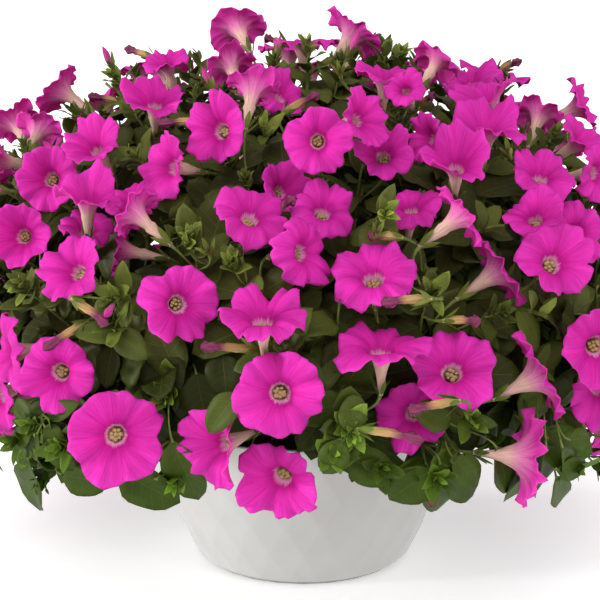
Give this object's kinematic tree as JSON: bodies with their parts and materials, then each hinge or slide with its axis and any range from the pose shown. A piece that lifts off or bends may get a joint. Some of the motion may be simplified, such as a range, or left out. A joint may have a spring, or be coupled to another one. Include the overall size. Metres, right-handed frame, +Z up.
{
  "type": "flowering petunia plant in a bowl pot",
  "caption": "Mounded petunia covered in five-lobed trumpet flowers, on leafy stems that spill over a white bowl pot with a relief of flat diamonds.",
  "frame": {"origin": "middle of the pot's foot, on the ground", "axes": "+Z up, through the middle of the pot; -Y towards the side the picture shows"},
  "size_m": [0.707, 0.7334, 0.4864],
  "materials": {
    "pot_glaze": "satin white",
    "potting_mix": "matte, crumbly and dark brown",
    "plant": "matte; magenta-pink petals, mid-green leaves and stems"
  },
  "bodies": {
    "root": {"pot": "pot_glaze", "soil": "potting_mix", "spray_01": "plant", "spray_02": "plant", "spray_03": "plant", "spray_04": "plant", "spray_05": "plant", "spray_07": "plant", "spray_09": "plant", "spray_10": "plant", "spray_12": "plant", "spray_13": "plant", "spray_14": "plant", "spray_17": "plant", "spray_18": "plant", "spray_21": "plant", "spray_22": "plant", "spray_23": "plant", "spray_24": "plant", "spray_25": "plant", "spray_26": "plant", "spray_27": "plant", "spray_28": "plant", "spray_29": "plant", "spray_31": "plant", "spray_32": "plant", "spray_33": "plant", "spray_35": "plant", "spray_37": "plant", "spray_38": "plant", "spray_40": "plant", "spray_41": "plant", "spray_42": "plant", "spray_43": "plant"}
  },
  "joints": []
}
